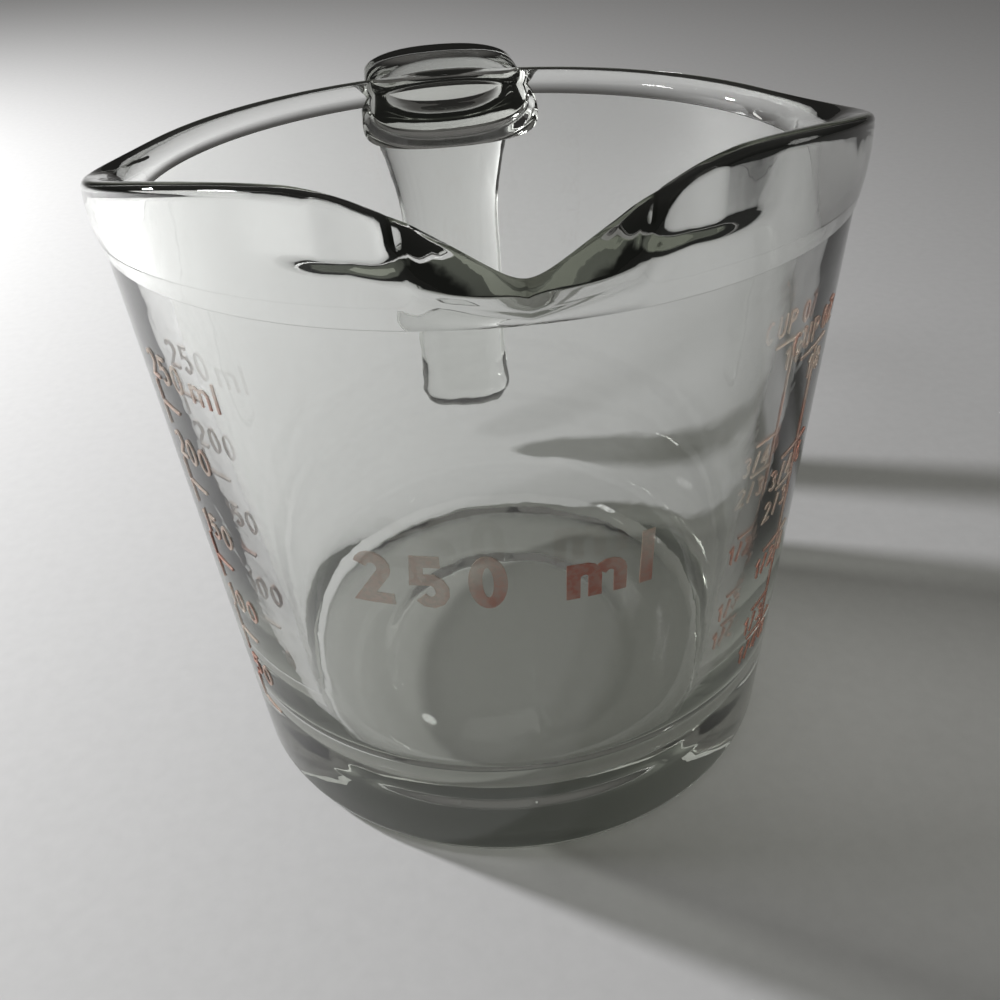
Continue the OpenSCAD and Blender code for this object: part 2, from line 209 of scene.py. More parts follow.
def line(start, end, steps):
    """Points between two points, both ends left out."""
    shares = [i / steps for i in range(1, steps)]
    return [(start[0] + (end[0] - start[0]) * s, start[1] + (end[1] - start[1]) * s) for s in shares]


print("a quarter of an arc in 3 steps has", len(arc((0, 0), 1, 0, math.pi / 2, 3)), "points")


# %% Draw the section
def foot_section():
    """From the middle of the foot to the parting line."""
    slope = math.atan(lean)
    heel = (out_r(heel_r) - heel_r / math.cos(slope), heel_r)
    flat = recess_r - recess_edge
    shallow = [(r, recess_deep) for r in foot_points]
    waves = [math.pi * i / 8 for i in range(9)]
    edge = [(flat + recess_edge * t / math.pi, recess_deep * (1 + math.cos(t)) / 2) for t in waves]
    ring = line((recess_r, 0), (heel[0], 0), 5)
    wall_top = (out_r(collar_z), collar_z)
    heel_points = arc(heel, heel_r, -math.pi / 2, -slope, 10)
    wall = line(heel_points[-1], wall_top, 14)
    ledge = [(wall_top[0], collar_z - ledge_low), (wall_top[0], collar_z - ledge_high)]
    ledge += [(wall_top[0] + ledge_step, collar_z)]
    return shallow + edge + ring + heel_points + wall + ledge


def floor_section():
    """From the parting line down the inside to the middle of the floor."""
    slope = math.atan(lean + wall_grow / collar_z)
    corner_z = floor_t + corner_r
    corner = (in_r(corner_z) - corner_r / math.cos(slope), corner_z)
    corner_points = arc(corner, corner_r, -slope, -math.pi / 2, 20)
    wall = line((in_r(collar_z), collar_z), corner_points[0], 16)
    floor = [(r, floor_t) for r in floor_points]
    return wall + corner_points + floor


def lip_section():
    """Outer, climb, spread and sink of each point of the lip."""
    climbs = (0, 0.06, 0.16, 0.32, 0.5, 0.68, 0.84, 0.94)
    rows = [(1, climb, 1, 1) for climb in climbs]
    quarter = [math.pi / 2 * i / 10 for i in range(11)]
    rows += [(1, 1, math.cos(t), 1 - math.sin(t)) for t in quarter]
    rows += [(0, 1, math.sin(t), 1 - math.cos(t)) for t in quarter[1:]]
    rows += [(0, 1 - i / 30, 1, 1) for i in range(1, 31)]
    return rows


below, above, inside = foot_section(), lip_section(), floor_section()
rows = len(below) + len(above) + len(inside)
print("section has", rows, "points,", len(above), "of them on the lip")

# %% Make the section a mesh with its lip values as attributes
def section_object():
    """The section as an object: its points hold radius and height, and the lip's four values."""
    places = below + [(crest_r, rim_h)] * len(above) + inside
    mesh = bpy.data.meshes.new("section")
    edges = [(i, i + 1) for i in range(rows - 1)]
    mesh.from_pydata([(r, 0, z) for r, z in places], edges, [])
    blank = (0, 0, 0, 0)
    lips = [blank] * len(below) + above + [blank] * len(inside)
    on_lip = [0] * len(below) + [1] * len(above) + [0] * len(inside)
    for column, name in enumerate(("outer", "climb", "spread", "sink")):
        layer = mesh.attributes.new(name, "FLOAT", "POINT")
        layer.data.foreach_set("value", [float(lip[column]) for lip in lips])
    layer = mesh.attributes.new("on_lip", "FLOAT", "POINT")
    layer.data.foreach_set("value", [float(value) for value in on_lip])
    section = bpy.data.objects.new("section", mesh)
    bpy.context.collection.objects.link(section)
    return section


wall = section_object()
print("section mesh:", len(wall.data.vertices), "points")

# %% [markdown]
# ## Turning the wall with Geometry Nodes
#
# A grid is rolled up: its rows are the section and its columns go round the axis. The lip could
# be pushed into shape by hand, but a rule with named sizes can be changed and run again, and
# Geometry Nodes run such a rule on every point. Node trees for arithmetic get long, so a small
# class lets each node be written as a sum: every `+` or `*` between two wires adds a Math node.

# %% A wire that does sums
class Wire:
    """An output of a node tree. Sums with it add Math nodes to that tree."""

    def __init__(self, tree, socket):
        self.tree = tree
        self.socket = socket

    def math(self, operation, *values):
        """One Math node on this wire and other values."""
        node = self.tree.nodes.new("ShaderNodeMath")
        node.operation = operation
        for slot, value in zip(node.inputs, (self,) + values):
            if isinstance(value, Wire):
                self.tree.links.new(value.socket, slot)
            else:
                slot.default_value = value
        return Wire(self.tree, node.outputs[0])

    def __add__(self, other):
        return self.math("ADD", other)

    def __sub__(self, other):
        return self.math("SUBTRACT", other)

    def __mul__(self, other):
        return self.math("MULTIPLY", other)

    def __truediv__(self, other):
        return self.math("DIVIDE", other)

    def at_least(self, other):
        """The larger of the two."""
        return self.math("MAXIMUM", other)

    def at_most(self, other):
        """The smaller of the two."""
        return self.math("MINIMUM", other)


def blended(low, high, share):
    """A wire between two wires, by a share from 0 to 1."""
    return low + (high - low) * share


def eased(wire):
    """A wire kept between 0 and 1, with soft ends."""
    kept = wire.at_least(0).at_most(1)
    return kept * kept * (kept * -2 + 3)


print("a wire can add, subtract, multiply, divide and use any other Math node")


# %% A tree with named sizes
def size_tree(name, sizes):
    """A Geometry Nodes tree with a float input for each size. Returns tree, input node and wires."""
    tree = bpy.data.node_groups.new(name, "GeometryNodeTree")
    tree.interface.new_socket("Geometry", in_out="INPUT", socket_type="NodeSocketGeometry")
    for label in sizes:
        tree.interface.new_socket(label, in_out="INPUT", socket_type="NodeSocketFloat")
    tree.interface.new_socket("Geometry", in_out="OUTPUT", socket_type="NodeSocketGeometry")
    entry = tree.nodes.new("NodeGroupInput")
    wires = {label: Wire(tree, entry.outputs[label]) for label in sizes}
    return tree, entry, wires


def finished(tree, geometry, material):
    """Ends a tree: realizes instances and gives the material."""
    realize = tree.nodes.new("GeometryNodeRealizeInstances")
    dress = tree.nodes.new("GeometryNodeSetMaterial")
    dress.inputs["Material"].default_value = material
    leave = tree.nodes.new("NodeGroupOutput")
    tree.links.new(geometry, realize.inputs["Geometry"])
    tree.links.new(realize.outputs["Geometry"], dress.inputs["Geometry"])
    tree.links.new(dress.outputs["Geometry"], leave.inputs["Geometry"])


def run_tree(thing, tree, sizes):
    """Runs a tree on an object and keeps the result as its plain mesh."""
    modifier = thing.modifiers.new(tree.name, "NODES")
    modifier.node_group = tree
    for item in tree.interface.items_tree:
        if item.in_out == "INPUT" and item.name in sizes:
            modifier[item.identifier] = float(sizes[item.name])
    evaluated = thing.evaluated_get(bpy.context.evaluated_depsgraph_get())
    mesh = bpy.data.meshes.new_from_object(evaluated)
    thing.modifiers.remove(modifier)
    thing.data = mesh


print("helpers for trees: size_tree, finished, run_tree")

# %% [markdown]
# ## The lip and the spout
#
# The lip rises to two shoulders and falls between them into a V, which is the spout. The walls of
# the spout are scooped on the inside and slant on the outside, so that the stream parts cleanly.
# Three rules make this shape. The first says how high the crest is at each turn round the axis,
# the second how deep the inside is scooped there, and the third puts each point of the section in
# its place. The slope of the scoop matters for the look: it tilts the inner face so far that,
# seen from the front, it reflects totally, and the flanks of the spout turn dark.

# %% The rule that shapes the crest
def crest_rule(sizes, turn):
    """Four wires: angle from the spout, way along the crest, height of the crest, share of spout."""
    off = turn.at_most(turn * -1 + 2 * math.pi)
    past = (off - sizes["Shoulder peak"]).at_least(0) / (sizes["Shoulder end"] - sizes["Shoulder peak"])
    swell = (past.at_most(1) * (math.pi / 2)).math("COSINE")
    shoulder = sizes["Rim height"] + sizes["Shoulder rise"] * swell * swell
    # The spout is a V with a rounded bottom, and it blends softly into the shoulders
    run = off * sizes["Crest radius"]
    reach = (run * run + sizes["Spout round"] * sizes["Spout round"]).math("SQRT")
    flank = sizes["Rim height"] - sizes["Spout drop"] + sizes["Spout slope"] * (reach - sizes["Spout round"])
    near = (sizes["Spout blend"] - (shoulder - flank).math("ABSOLUTE")).at_least(0) / sizes["Spout blend"]
    top = shoulder.at_most(flank) - near * near * sizes["Spout blend"] / 4
    share = eased((shoulder - top - sizes["Spout start"]) / sizes["Spout fade"])
    return off, run, top, share


print("crest: about", round(rim_h - spout_drop, 1), "mm high in the spout and",
      round(rim_h + shoulder_rise, 1), "mm on the shoulders")


# %% The rule that scoops the inside of the spout
scoop_cap = 0.9
scoop_foot = 0.6
scoop_over = 0.4


def scoop_rule(sizes, off, high, brink, share):
    """Depth of the scoop, and the heights between which it deepens."""
    # In the V it deepens nearly up to the crest, on the shoulders only up to a set height
    raised = eased(share * 2)
    highest = blended(sizes["Parting height"], high, raised * (1 - scoop_cap) + scoop_cap)
    top = blended(highest.at_most(sizes["Rim height"] + sizes["Scoop rise"]), highest, raised)
    low = blended(sizes["Parting height"], top, scoop_foot)
    low = low.at_most(brink - sizes["Scoop under"])
    depth = sizes["Scoop"] * eased((sizes["Scoop end"] - off) / (sizes["Scoop end"] - sizes["Scoop full"]))
    return depth.at_most((top - low) * sizes["Scoop slope"]), low, top


print("scoop:", scoop_w, "mm deep, and gone", round(math.degrees(scoop_end)), "degrees from the spout")


# %% The rule that shapes the lip
least_fall = 0.2
dip_loss = 0.5


def lip_rule(sizes, turn, part):
    """Radius and height of a lip point, from its turn round the axis and its place on the lip."""
    off, run, top, share = crest_rule(sizes, turn)
    height = top - sizes["Parting height"]
    # How far below the crest the straight sides end: outside at the brink of the spout, inside a dip
    brink = sizes["Parting height"] + sizes["Pour edge"] + sizes["Pour slope"] * run
    fall = blended(sizes["Lip edge"], (top - brink).at_least(least_fall), share)
    dip = sizes["Lip round"] * (share * -dip_loss + 1)
    scoop, scoop_low, scoop_top = scoop_rule(sizes, off, top - dip, brink, share)
    # The ridge is where outside and inside meet
    side_top = sizes["Lip radius"] + (height - fall) * sizes["Lean"]
    bore_top = sizes["Bore at the foot"] + (top - dip) * sizes["Lean"] + scoop
    ridge = side_top - blended(sizes["Lip edge"], (side_top - bore_top) * sizes["Pour share"], share)
    # The straight sides, with a slight belly outside and the scoop inside
    belly = part["climb"] * (part["climb"] * -1 + 1) * 4 * sizes["Belly"]
    side = sizes["Lip radius"] + (height - fall) * sizes["Lean"] * part["climb"] + belly
    level = sizes["Parting height"] + (height - dip * part["sink"]) * part["climb"]
    along = ((level - scoop_low) / (scoop_top - scoop_low)).at_least(0)
    along = along.at_most(share * scoop_over + 1)
    scooped = scoop * blended(eased(along), along, share)
    bore = sizes["Bore at the foot"] + level * sizes["Lean"] + scooped
    base = blended(bore, side, part["outer"])
    # From the sides over to the ridge, rounded, and slanting on the outside of the spout
    power = (sizes["Pour power"] - 1) * share * part["outer"] + 1
    spread = part["spread"].math("POWER", power)
    sink = (part["sink"] * -1 + 1).at_least(0).math("POWER", power) * -1 + 1
    rounding = blended(dip, fall, part["outer"]) * sink
    radius = ridge + (base - ridge) * spread
    return radius, sizes["Parting height"] + (height - rounding) * part["climb"]


print("lip: outside radius", round(collar_r + ledge_w, 2), "mm at the parting line")

# %% Sizes that the tree gets
columns = 288
crowding = 0.75
wall_sizes = {
    "Rim height": rim_h, "Parting height": collar_z, "Crest radius": crest_r,
    "Lean": lean, "Bore at the foot": lip_bore, "Lip radius": collar_r + ledge_w, "Belly": belly_w,
    "Lip edge": lip_edge, "Lip round": lip_round,
    "Shoulder rise": shoulder_rise, "Shoulder peak": shoulder_peak, "Shoulder end": shoulder_end,
    "Spout drop": spout_drop, "Spout slope": spout_slope, "Spout round": spout_round,
    "Spout blend": spout_blend, "Spout start": spout_start, "Spout fade": spout_fade,
    "Pour edge": pour_edge, "Pour slope": pour_slope, "Pour share": pour_share, "Pour power": pour_power,
    "Scoop": scoop_w, "Scoop slope": scoop_slope, "Scoop full": scoop_full, "Scoop end": scoop_end,
    "Scoop under": scoop_under, "Scoop rise": scoop_rise,
    "Columns": columns, "Crowding": crowding,
}
print("the tree gets", len(wall_sizes), "named sizes")


# %% Read the section inside the tree
def at_row(tree, entry, row, value, kind):
    """The value that the section's point in this row has."""
    sample = tree.nodes.new("GeometryNodeSampleIndex")
    sample.data_type = kind
    tree.links.new(entry.outputs["Geometry"], sample.inputs["Geometry"])
    tree.links.new(value, sample.inputs["Value"])
    tree.links.new(row.socket, sample.inputs["Index"])
    return sample.outputs["Value"]


def read_section(tree, entry, row, name):
    """Wire with an attribute of the section's point in this row."""
    attribute = tree.nodes.new("GeometryNodeInputNamedAttribute")
    attribute.data_type = "FLOAT"
    attribute.inputs["Name"].default_value = name
    return Wire(tree, at_row(tree, entry, row, attribute.outputs["Attribute"], "FLOAT"))


def read_place(tree, entry, row):
    """Radius and height of the section's point in this row."""
    place = tree.nodes.new("GeometryNodeInputPosition")
    split = tree.nodes.new("ShaderNodeSeparateXYZ")
    found = at_row(tree, entry, row, place.outputs["Position"], "FLOAT_VECTOR")
    tree.links.new(found, split.inputs["Vector"])
    return Wire(tree, split.outputs["X"]), Wire(tree, split.outputs["Z"])


print("each of the", rows, "rows of the grid reads its own point of the section")


# %% Turn the section
weld_gap = 0.002


def turning_tree(material):
    """The tree that rolls up a grid into the wall."""
    tree, entry, sizes = size_tree("turn_and_press", wall_sizes)
    grid = tree.nodes.new("GeometryNodeMeshGrid")
    grid.inputs["Vertices Y"].default_value = rows
    tree.links.new((sizes["Columns"] + 1).socket, grid.inputs["Vertices X"])
    index = Wire(tree, tree.nodes.new("GeometryNodeInputIndex").outputs["Index"])
    column = ((index + 0.5) / rows).math("FLOOR")
    row = index - column * rows
    full = column / sizes["Columns"] * (2 * math.pi)
    turn = full - full.math("SINE") * sizes["Crowding"]
    part = {name: read_section(tree, entry, row, name) for name in ("outer", "climb", "spread", "sink")}
    plain_r, plain_z = read_place(tree, entry, row)
    lip_r, lip_z = lip_rule(sizes, turn, part)
    on_lip = read_section(tree, entry, row, "on_lip")
    radius = blended(plain_r, lip_r, on_lip) * MM
    height = blended(plain_z, lip_z, on_lip) * MM
    place = tree.nodes.new("ShaderNodeCombineXYZ")
    tree.links.new((radius * turn.math("SINE")).socket, place.inputs["X"])
    tree.links.new((radius * turn.math("COSINE") * -1).socket, place.inputs["Y"])
    tree.links.new(height.socket, place.inputs["Z"])
    roll = tree.nodes.new("GeometryNodeSetPosition")
    tree.links.new(grid.outputs["Mesh"], roll.inputs["Geometry"])
    tree.links.new(place.outputs["Vector"], roll.inputs["Position"])
    weld = tree.nodes.new("GeometryNodeMergeByDistance")
    weld.inputs["Distance"].default_value = weld_gap * MM
    tree.links.new(roll.outputs["Geometry"], weld.inputs["Geometry"])
    finished(tree, weld.outputs["Geometry"], material)
    return tree


glass = bpy.data.materials.new("clear_glass")
run_tree(wall, turning_tree(glass), wall_sizes)
print("wall:", len(wall.data.vertices), "points,", len(wall.data.polygons), "faces")


# %% Check that a mesh is closed and faces outwards
def closed_and_outward(thing):
    """Turns the faces outwards. Returns how many edges are open, and the volume in cubic mm."""
    mesh = bmesh.new()
    mesh.from_mesh(thing.data)
    bmesh.ops.recalc_face_normals(mesh, faces=mesh.faces)
    volume = mesh.calc_volume(signed=True)
    if volume < 0:
        bmesh.ops.reverse_faces(mesh, faces=mesh.faces)
    open_edges = sum(1 for edge in mesh.edges if not edge.is_manifold)
    mesh.to_mesh(thing.data)
    mesh.free()
    return open_edges, abs(volume) / MM ** 3


open_edges, volume = closed_and_outward(wall)
print("wall: open edges", open_edges, "glass", round(volume / 1000, 1), "cubic centimetres")

# %% [markdown]
# ## The handle
#
# The handle leaves the wall level with the rim, bends down and hangs free. It is wide and thick
# at the root and slims down towards the bend. A box with a Bevel modifier could be bent along a
# curve, but its width and thickness would be hard to steer. So the handle is lofted: rings of
# points along a path, each ring a superellipse, which is a rounded rectangle with soft corners.

# %% Sizes of the handle
handle_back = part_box("handle")[1][1] / MM
handle_top = top_of("handle")
handle_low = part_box("handle")[0][2] / MM
grip_w = 19.5
handle_t = 7.8
bend_r = 10.5
handle_lean = math.radians(4)
tip_len = 5
tip_w = 0.2
tip_t_share = 0.02
root_w = 26
narrow_len = 21
root_t = 10.5
root_len = 14.5
root_in = 1.2
root_y = crest_r - root_in
root_dip = 1.6
fillet_w = 1.3
fillet_len = 2.4
squareness = 2.4
root_squareness = 2.3
ring_points = 72
root_steps = 48
root_crowding = 1.5
bend_steps = 24
grip_steps = 20
tip_steps = 14
straight_y = handle_back - bend_r
bend_centre = (straight_y, handle_top - bend_r)
bend_turn = math.pi / 2 + handle_lean
print("handle reaches y", round(handle_back, 2), "mm and hangs down to", round(handle_low, 2), "mm")


# %% The shape of one ring
def soft(share):
    """A share kept between 0 and 1, with soft ends."""
    kept = min(1, max(0, share))
    return kept * kept * (3 - 2 * kept)


def root_share(y):
    """How much of the root's extra size is left at a distance from the axis."""
    left = min(1, max(0, 1 - (y - collar_r) / root_len))
    return left ** 2


def fillet(y):
    """Extra size in the last few millimetres before the wall."""
    left = min(1, max(0, 1 - (y - collar_r) / fillet_len))
    return fillet_w * left ** 3


def handle_ring(y, z, normal, half_w, half_t, power):
    """A superellipse whose outer side lies on the point (y, z)."""
    ring = []
    for i in range(ring_points):
        turn = 2 * math.pi * i / ring_points
        across, out = math.cos(turn), math.sin(turn)
        x = half_w * math.copysign(abs(across) ** (2 / power), across)
        w = half_t * math.copysign(abs(out) ** (2 / power), out) - half_t
        ring.append((x, y + w * math.cos(normal), z + w * math.sin(normal)))
    return ring


print("the fillet adds", round(fillet(collar_r), 2), "mm at the wall")


# %% Rings along the handle
def top_rings():
    """From inside the wall to the bend."""
    rings = []
    for i in range(root_steps):
        y = root_y + (straight_y - root_y) * (i / root_steps) ** root_crowding
        share = root_share(y)
        dip = root_dip * max(0, (collar_r - y) / (collar_r - root_y)) ** 2
        half_w = root_w / 2 + fillet(y)
        half_t = (handle_t + (root_t - handle_t) * share + fillet(y)) / 2
        rings.append(handle_ring(y, handle_top - dip, math.pi / 2, half_w, half_t, root_squareness))
    return rings


def bend_rings():
    """Round the bend."""
    rings = []
    for i in range(bend_steps + 1):
        turn = math.pi / 2 - bend_turn * i / bend_steps
        y = bend_centre[0] + bend_r * math.cos(turn)
        z = bend_centre[1] + bend_r * math.sin(turn)
        rings.append(handle_ring(y, z, turn, root_w / 2, handle_t / 2, root_squareness))
    return rings


def hanging_rings():
    """Down to the free end, which is rounded off on all sides."""
    normal = math.pi / 2 - bend_turn
    start = (bend_centre[0] + bend_r * math.cos(normal), bend_centre[1] + bend_r * math.sin(normal))
    length = (start[1] - handle_low) / math.cos(handle_lean)
    rings = []
    shares = [i / grip_steps * (1 - tip_len / length) for i in range(1, grip_steps + 1)]
    turns = [math.pi / 2 * i / tip_steps for i in range(1, tip_steps + 1)]
    shares += [1 - tip_len / length * (1 - math.sin(t)) for t in turns]
    shrinks = [1] * grip_steps + [math.cos(t) for t in turns]
    for share, shrink in zip(shares, shrinks):
        y = start[0] - length * share * math.sin(handle_lean)
        z = start[1] - length * share * math.cos(handle_lean)
        half_t = handle_t / 2 * max(shrink, tip_t_share)
        inset = handle_t / 2 - half_t
        wide = soft(1 - length * share / narrow_len)
        half_w = (grip_w + (root_w - grip_w) * wide) / 2 - tip_len * (1 - shrink)
        power = squareness + (root_squareness - squareness) * wide
        rings.append(handle_ring(y - inset * math.cos(normal), z - inset * math.sin(normal),
                                 normal, max(half_w, tip_w / 2), half_t, power))
    return rings


handle_rings = top_rings() + bend_rings() + hanging_rings()
print("the handle has", len(handle_rings), "rings of", ring_points, "points")


# %% Loft the handle
def lofted(name, rings):
    """A closed mesh through rings of points, both ends capped."""
    mesh = bpy.data.meshes.new(name)
    points = [point for ring in rings for point in ring]
    count = len(rings[0])
    faces = [[count - 1 - k for k in range(count)]]
    for i in range(len(rings) - 1):
        for k in range(count):
            a, b = i * count + k, i * count + (k + 1) % count
            faces.append((a, b, b + count, a + count))
    last = (len(rings) - 1) * count
    faces.append([last + k for k in range(count)])
    mesh.from_pydata([Vector(p) * MM for p in points], [], faces)
    thing = bpy.data.objects.new(name, mesh)
    bpy.context.collection.objects.link(thing)
    return thing


handle = lofted("handle_loft", handle_rings)
open_edges, volume = closed_and_outward(handle)
print("handle: open edges", open_edges, "glass", round(volume / 1000, 2), "cubic centimetres")

# %% [markdown]
# ## Joining handle and wall
#
# In the mould they are one melt. Two overlapping glass solids would show a surface inside the
# glass, so the handle is joined to the wall with a Boolean union, which leaves one closed skin.
# The last rings widen quickly towards the wall, which gives the small fillet that flowing glass
# leaves there.

# %% Union
sharp_edge = math.radians(35)


def joined(base, extra):
    """Unites an object with another, which is then removed."""
    modifier = base.modifiers.new("union", "BOOLEAN")
    modifier.operation = "UNION"
    modifier.solver = "EXACT"
    modifier.object = extra
    evaluated = base.evaluated_get(bpy.context.evaluated_depsgraph_get())
    mesh = bpy.data.meshes.new_from_object(evaluated)
    base.modifiers.remove(modifier)
    base.data = mesh
    bpy.data.objects.remove(extra)


joined(wall, handle)
open_edges, volume = closed_and_outward(wall)
for polygon in wall.data.polygons:
    polygon.use_smooth = True
wall.data.set_sharp_from_angle(angle=sharp_edge)
print("glass:", len(wall.data.polygons), "faces, open edges", open_edges)

# %% [markdown]
# ## Glass
#
# Clear soda-lime glass has a refractive index of 1.52 and a slight green-grey tint that shows only
# where the glass is thick. The surface could be coloured, but then thin and thick glass look the
# same, so the tint is in a Volume Absorption node. Pressed glass is not as flat as window glass:
# slow waves run over it, and use leaves smudges and fine scratches. These come from noise in
# Object coordinates, so nothing has to be unwrapped.
#
# Lamps do not have to search their way through the glass: for shadow rays and for rays that leave
# a matt surface, the material lets light straight through, dimmed at the edges and in the handle.
# That keeps the table's shadow free of specks.
#
# Thick glass catches light between its faces, and a renderer follows it through a few mirror
# turns only. What is still caught after four turns gets a painted glow in the place of the rest:
# the glass emits a faint light, almost none in the lip, where the real glass looks black, and
# more in the foot, most of all at its sides. The strength of the painted glow is chosen. The
# foot also has calmer waves, because its thick glass magnifies each of them.

# %% Noise, steps and colours
def noise(tree, coordinates, scale, detail, stretch=(1, 1, 1)):
    """A noise texture on coordinates, stretched by a Mapping node."""
    place = tree.nodes.new("ShaderNodeMapping")
    place.inputs["Scale"].default_value = stretch
    texture = tree.nodes.new("ShaderNodeTexNoise")
    texture.inputs["Scale"].default_value = scale
    texture.inputs["Detail"].default_value = detail
    tree.links.new(coordinates, place.inputs["Vector"])
    tree.links.new(place.outputs["Vector"], texture.inputs["Vector"])
    return Wire(tree, texture.outputs["Fac"])


def steep(wire, low, high):
    """0 below low, 1 above high, smooth between."""
    node = wire.tree.nodes.new("ShaderNodeMapRange")
    node.interpolation_type = "SMOOTHSTEP"
    node.inputs["From Min"].default_value = low
    node.inputs["From Max"].default_value = high
    wire.tree.links.new(wire.socket, node.inputs["Value"])
    return Wire(wire.tree, node.outputs["Result"])


def object_axes(tree):
    """Wires with X, Y and Z in Object coordinates."""
    split = tree.nodes.new("ShaderNodeSeparateXYZ")
    tree.links.new(tree.nodes.new("ShaderNodeTexCoord").outputs["Object"], split.inputs["Vector"])
    return [Wire(tree, split.outputs[axis]) for axis in ("X", "Y", "Z")]


def mixed_colour(share, low, high):
    """The colour between two colours, by a wire from 0 to 1."""
    mix = share.tree.nodes.new("ShaderNodeMix")
    mix.data_type = "RGBA"
    mix.inputs["A"].default_value = (*low, 1)
    mix.inputs["B"].default_value = (*high, 1)
    share.tree.links.new(share.socket, mix.inputs["Factor"])
    return mix.outputs["Result"]


def bumped(tree, height, strength, distance):
    """A Bump node on a height, and its normal."""
    bump = tree.nodes.new("ShaderNodeBump")
    bump.inputs["Strength"].default_value = strength
    bump.inputs["Distance"].default_value = distance
    tree.links.new(height, bump.inputs["Height"])
    return bump.outputs["Normal"]


print("helpers for shaders: noise, steep, object_axes, mixed_colour, bumped")


# %% Trees and groups
def group_of(name, inputs, outputs):
    """A shader node group with named float inputs and outputs, and its two ends."""
    tree = bpy.data.node_groups.new(name, "ShaderNodeTree")
    for label, value in inputs.items():
        socket = tree.interface.new_socket(label, in_out="INPUT", socket_type="NodeSocketFloat")
        socket.default_value = value
    for label in outputs:
        tree.interface.new_socket(label, in_out="OUTPUT", socket_type="NodeSocketFloat")
    return tree, tree.nodes.new("NodeGroupInput"), tree.nodes.new("NodeGroupOutput")


def fresh(material):
    """Empties a material's tree and returns it with its output node."""
    material.use_nodes = True
    tree = material.node_tree
    tree.nodes.clear()
    return tree, tree.nodes.new("ShaderNodeOutputMaterial")


def use_group(tree, group, **values):
    """A group node with values on its named inputs."""
    node = tree.nodes.new("ShaderNodeGroup")
    node.node_tree = group
    for label, value in values.items():
        node.inputs[label.replace("_", " ")].default_value = value
    return node


print("helpers for shader trees: group_of, fresh, use_group")


# %% Shared group: surface history
wave_scale = 70
wave_stretch = (1, 1, 0.45)
ripple_scale = 260
ripple_share = 0.12
smudge_scale = 60
scratch_scale = 900
scratch_stretch = (1, 1, 0.05)


def history_group():
    """Slow waves of the mould, smudges of hands and fine scratches of use."""
    parts = ("Waves", "Smudges", "Scratches")
    tree, entry, leave = group_of("surface_history", {"Scratch amount": 0.5}, parts)
    where = tree.nodes.new("ShaderNodeTexCoord").outputs["Object"]
    waves = noise(tree, where, wave_scale, 2, wave_stretch)
    ripples = noise(tree, where, ripple_scale, 2)
    smudges = steep(noise(tree, where, smudge_scale, 5), 0.52, 0.78)
    scratches = steep(noise(tree, where, scratch_scale, 3, scratch_stretch), 0.66, 0.74)
    amount = Wire(tree, entry.outputs["Scratch amount"])
    tree.links.new((waves + ripples * ripple_share).socket, leave.inputs["Waves"])
    tree.links.new(smudges.socket, leave.inputs["Smudges"])
    tree.links.new((scratches * amount).socket, leave.inputs["Scratches"])
    return tree


history = history_group()
print("group:", history.name, "with", len(history.nodes), "nodes")


# %% Light that goes straight through the glass
through_wall = (0.90, 0.90, 0.89)
through_edge = (0.36, 0.37, 0.34)
edge_blend = 0.4
handle_dim = 0.75
handle_start = 3


def edge_shade(tree):
    """Colour of light that has come through: clear through the wall, dim at edges and in the handle."""
    facing = tree.nodes.new("ShaderNodeLayerWeight")
    facing.inputs["Blend"].default_value = edge_blend
    handle_part = steep(object_axes(tree)[1], collar_r * MM, (collar_r + handle_start) * MM)
    amount = Wire(tree, facing.outputs["Facing"]).at_least(handle_part * handle_dim)
    return mixed_colour(amount, through_wall, through_edge)


print("light that goes straight through the wall keeps", max(through_wall), "of its strength at most")


# %% Painted glow in place of light that is caught in the glass
caught_after = 4
# Colour and strengths of the painted glow that the glass emits
painted_glow_colour = (0.97, 1, 0.92)
painted_glow_everywhere = 0.005
painted_glow_in_foot = 0.025
painted_glow_at_sides = 0.09


def painted_glow(tree, path, in_foot, painted_glow_sides):
    """Colour of the faint painted glow that the glass emits where light is still caught in it."""
    caught = Wire(tree, path.outputs["Glossy Depth"]).math("GREATER_THAN", caught_after - 0.5)
    # Painted glow: the glass emits a faint light, a little everywhere, more in the foot and most at its
    # sides
    level = in_foot * (painted_glow_sides * painted_glow_at_sides + painted_glow_in_foot) + painted_glow_everywhere
    return mixed_colour(caught * level, (0, 0, 0), painted_glow_colour)


print("light counts as caught after", caught_after, "mirror turns")


# %% Glass material
glass_bend = 1.52
surface_colour = (0.985, 0.992, 0.985)
tint_colour = (0.80, 0.815, 0.77)
tint_density = 28
foot_full = 8
foot_end = 22
painted_glow_side_start = 4
painted_glow_side_full = 36
wave_strength = 0.25
wave_height = 0.4
foot_calm = 0.8
smudge_rough = 0.03
scratch_rough = 0.05


